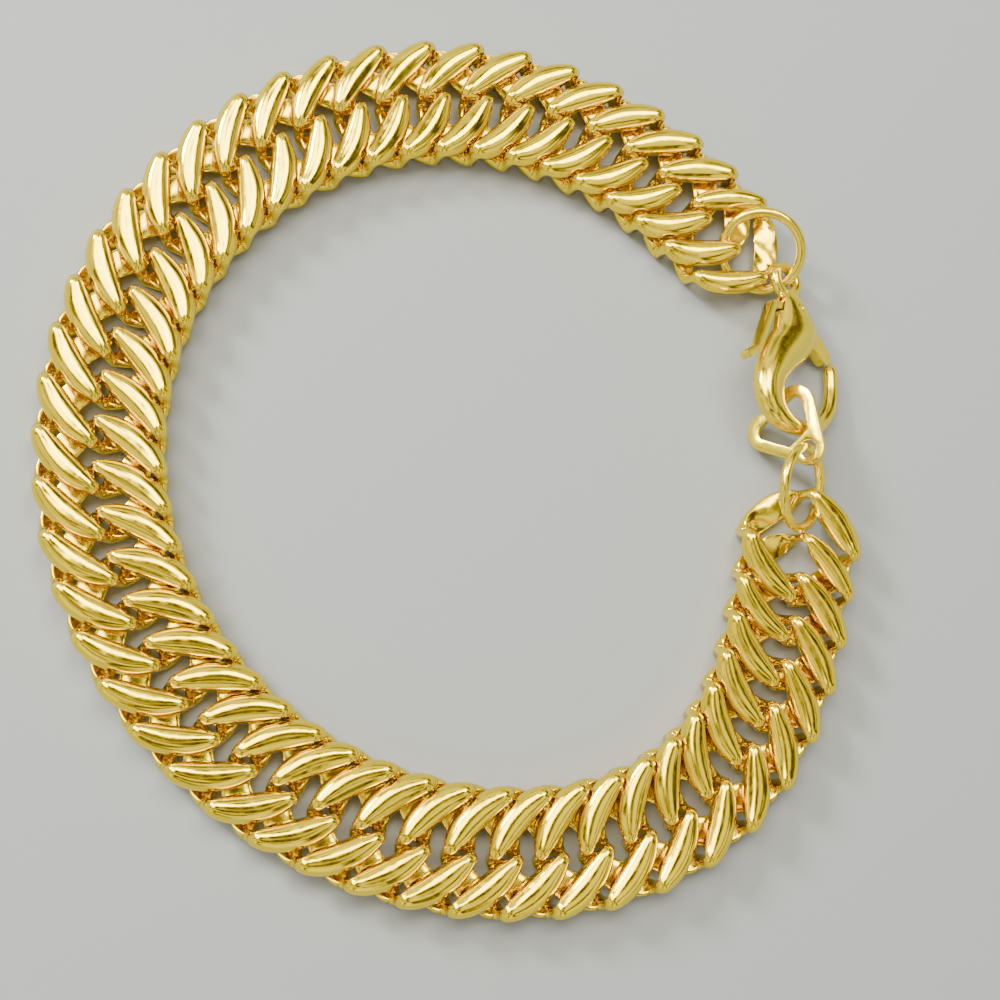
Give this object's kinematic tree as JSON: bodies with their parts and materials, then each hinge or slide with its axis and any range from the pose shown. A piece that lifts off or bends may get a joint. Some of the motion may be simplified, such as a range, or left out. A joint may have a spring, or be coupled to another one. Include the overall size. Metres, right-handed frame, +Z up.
{
  "type": "chain bracelet",
  "caption": "Woven curb chain bracelet lying as a closed loop, its lobster clasp hooked into an open heart tab on a jump ring.",
  "frame": {"origin": "centre of the box round the bracelet, on the surface that it lies on", "axes": "+Z up, +X to the right of the picture with the clasp, +Y towards the top of the picture"},
  "size_m": [0.0684, 0.0736, 0.0065],
  "materials": {
    "chain_gold": "polished gold plate, highly reflective",
    "finding_gold": "polished gold plate, slightly paler"
  },
  "bodies": {
    "bracelet": {"link_01": "chain_gold", "link_02": "chain_gold", "link_03": "chain_gold", "link_04": "chain_gold", "link_05": "chain_gold", "link_06": "chain_gold", "link_07": "chain_gold", "link_08": "chain_gold", "link_09": "chain_gold", "link_10": "chain_gold", "link_11": "chain_gold", "link_12": "chain_gold", "link_13": "chain_gold", "link_14": "chain_gold", "link_15": "chain_gold", "link_16": "chain_gold", "link_17": "chain_gold", "link_18": "chain_gold", "link_19": "chain_gold", "link_20": "chain_gold", "link_21": "chain_gold", "link_22": "chain_gold", "link_23": "chain_gold", "link_24": "chain_gold", "link_25": "chain_gold", "link_26": "chain_gold", "link_27": "chain_gold", "link_28": "chain_gold", "link_29": "chain_gold", "link_30": "chain_gold", "link_31": "chain_gold", "link_32": "chain_gold", "link_33": "chain_gold", "link_34": "chain_gold", "link_35": "chain_gold", "link_36": "chain_gold", "link_37": "chain_gold", "link_38": "chain_gold", "link_39": "chain_gold", "link_40": "chain_gold", "link_41": "chain_gold", "link_42": "chain_gold", "link_43": "chain_gold", "link_44": "chain_gold", "link_45": "chain_gold", "link_46": "chain_gold", "clasp_ring": "finding_gold", "tab_ring": "finding_gold", "heart_tab": "finding_gold", "clasp_body": "finding_gold", "clasp_pin": "finding_gold"},
    "gate": {"clasp_gate": "finding_gold"}
  },
  "joints": [
    {"name": "gate_hinge", "type": "hinge", "parent": "bracelet", "child": "gate", "pos_m": [0.02911, 0.01437, 0.00206], "axis": [-0.4415, -0.0908, -0.8927], "range_deg": [0, 22], "stiffness_Nm_per_rad": 0.0002, "springref_deg": -9.74}
  ]
}
